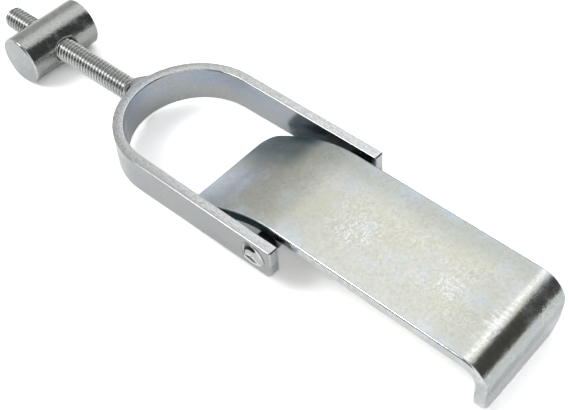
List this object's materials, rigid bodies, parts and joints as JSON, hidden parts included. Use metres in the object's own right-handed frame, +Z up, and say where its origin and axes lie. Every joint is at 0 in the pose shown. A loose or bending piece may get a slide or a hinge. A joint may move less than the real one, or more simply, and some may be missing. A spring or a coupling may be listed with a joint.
{
  "type": "toggle clamp",
  "caption": "Over-centre toggle clamp: a barrel nut on a threaded stud, welded to a bent yoke, and a flat lever with a turned-down nose and lip that swings between the yoke's arms.",
  "frame": {"origin": "middle of the clamp's length and width, on the floor that the clamp lies on", "axes": "+X from the stud towards the lip of the lever, +Y across the arms along the pivot, +Z up"},
  "size_m": [0.2152, 0.0534, 0.0198],
  "materials": {
    "zinc_turned": "gloss",
    "zinc_thread": "gloss",
    "zinc_weld": "satin",
    "zinc_bar": "satin",
    "zinc_sheet": "satin"
  },
  "bodies": {
    "frame": {"yoke": "zinc_bar", "threaded_stud": "zinc_thread", "neck_weld": "zinc_weld"},
    "lever": {"lever_plate": "zinc_sheet", "pivot_bar": "zinc_turned", "pivot_welds": "zinc_weld"},
    "barrel": {"barrel_nut": "zinc_turned"}
  },
  "joints": [
    {"name": "lever_swing", "type": "hinge", "parent": "frame", "child": "lever", "pos_m": [0.03245, 0, 0.01244], "axis": [0, -1, 0], "range_deg": [-160, 165]},
    {"name": "barrel_adjust", "type": "slide", "parent": "frame", "child": "barrel", "axis": [0.9994, 0, 0.0333], "range_m": [-0.015, 0.03]}
  ]
}
